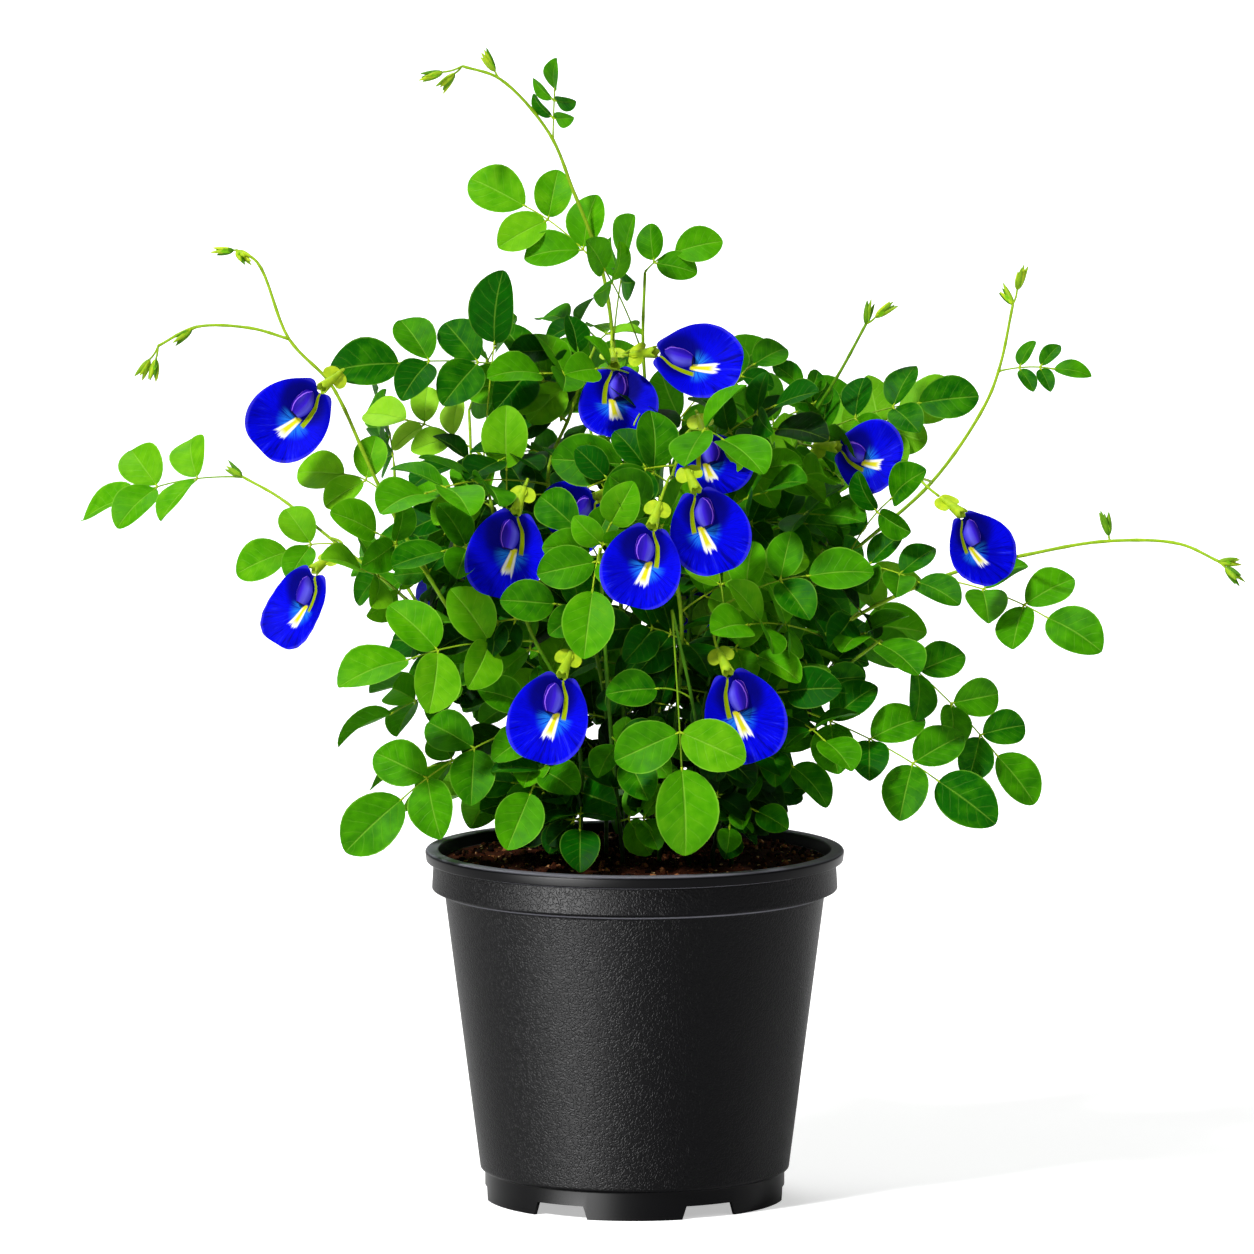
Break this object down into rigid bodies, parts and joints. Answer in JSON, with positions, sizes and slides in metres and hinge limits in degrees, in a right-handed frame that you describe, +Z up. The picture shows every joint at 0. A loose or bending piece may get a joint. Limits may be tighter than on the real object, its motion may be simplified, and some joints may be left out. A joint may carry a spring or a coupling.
{
  "type": "potted butterfly pea",
  "caption": "Free-standing potted butterfly pea: twining leafy stems with pinnate leaves and blue pea flowers in soil, in a tapered plastic nursery pot with a rolled rim.",
  "frame": {"origin": "on the floor, at the middle of the pot's foot", "axes": "+Z up along the pot's axis, -Y towards the viewer of the plant's front, +X to that viewer's right"},
  "size_m": [0.5668, 0.3634, 0.564],
  "materials": {
    "pot": "black moulded plastic, leather-grained sides, smooth rim and foot",
    "soil": "moist crumbly potting soil, matte",
    "foliage": "thin satin green leaves with paler veins, yellow-green stems",
    "petal": "velvety deep blue petals with a white and yellow throat"
  },
  "bodies": {
    "root": {"bloom_1": "petal", "bloom_10": "petal", "bloom_11": "petal", "bloom_12": "petal", "bloom_13": "petal", "bloom_14": "petal", "bloom_15": "petal", "bloom_16": "petal", "bloom_2": "petal", "bloom_3": "petal", "bloom_4": "petal", "bloom_5": "petal", "bloom_6": "petal", "bloom_7": "petal", "bloom_8": "petal", "bloom_9": "petal", "pot": "pot", "soil": "soil", "stem_back_1": "foliage", "stem_back_2": "foliage", "stem_back_3": "foliage", "stem_back_4": "foliage", "stem_back_5": "foliage", "stem_back_6": "foliage", "stem_centre": "foliage", "stem_front": "foliage", "stem_left_foot": "foliage", "stem_left_high": "foliage", "stem_left_low": "foliage", "stem_middle_left": "foliage", "stem_middle_right": "foliage", "stem_near_right": "foliage", "stem_right_far": "foliage", "stem_right_foot": "foliage", "stem_right_high": "foliage", "stem_right_low": "foliage", "stem_right_shoot": "foliage", "stem_right_up": "foliage", "stem_top_right": "foliage", "stem_top_shoot": "foliage", "stem_upper_left": "foliage"}
  },
  "joints": []
}
